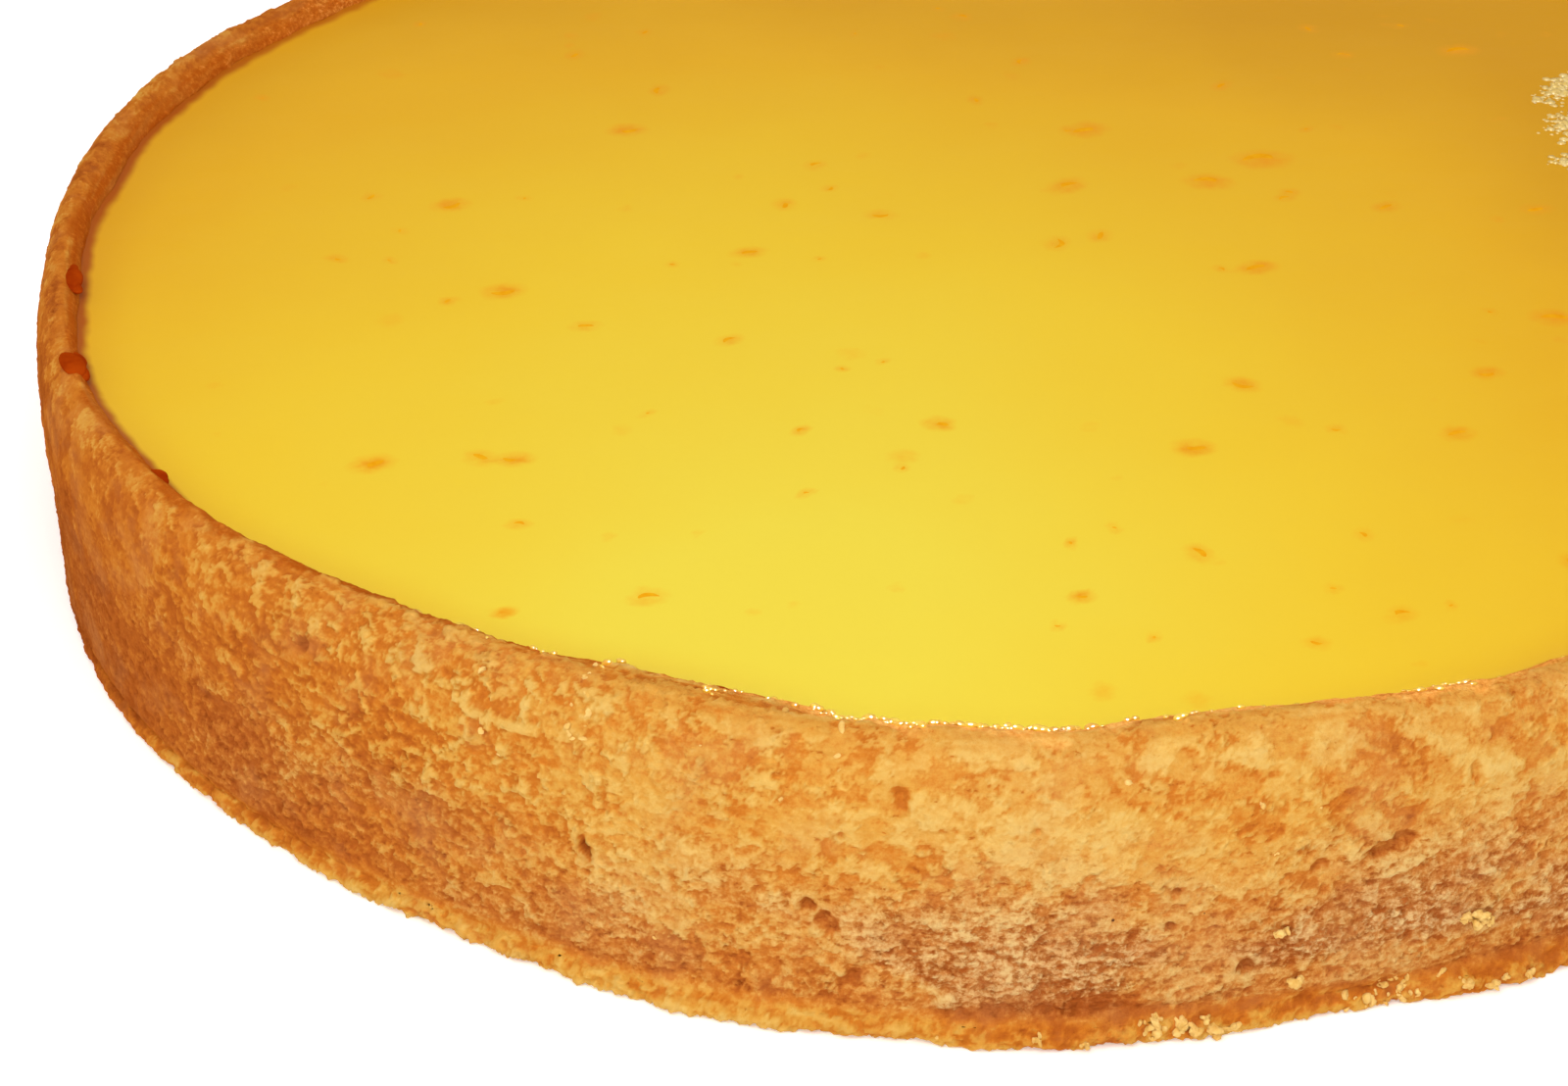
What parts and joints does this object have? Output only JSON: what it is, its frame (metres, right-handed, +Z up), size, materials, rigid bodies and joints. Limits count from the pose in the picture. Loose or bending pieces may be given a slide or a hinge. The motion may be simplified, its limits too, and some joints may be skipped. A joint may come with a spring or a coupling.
{
  "type": "orange tart",
  "caption": "Round, deep, straight-sided shortcrust tart, filled almost to its rim with set orange custard.",
  "frame": {"origin": "on the table, under the middle of the tart's bounding box", "axes": "+Z up, out of the custard. The tart is round but for small unevenness, and -Y is the side that faces the viewer"},
  "size_m": [0.231, 0.232, 0.0351],
  "materials": {
    "pastry": "baked shortcrust: dry, crumbly and pitted, golden at the rim, browner below",
    "custard": "set custard: smooth, moist, faintly translucent yellow with orange zest under the skin",
    "caramel": "juice baked to a glossy red-brown caramel",
    "zest": "moist orange zest"
  },
  "bodies": {
    "root": {"pastry_case": "pastry", "custard_filling": "custard"}
  },
  "joints": []
}
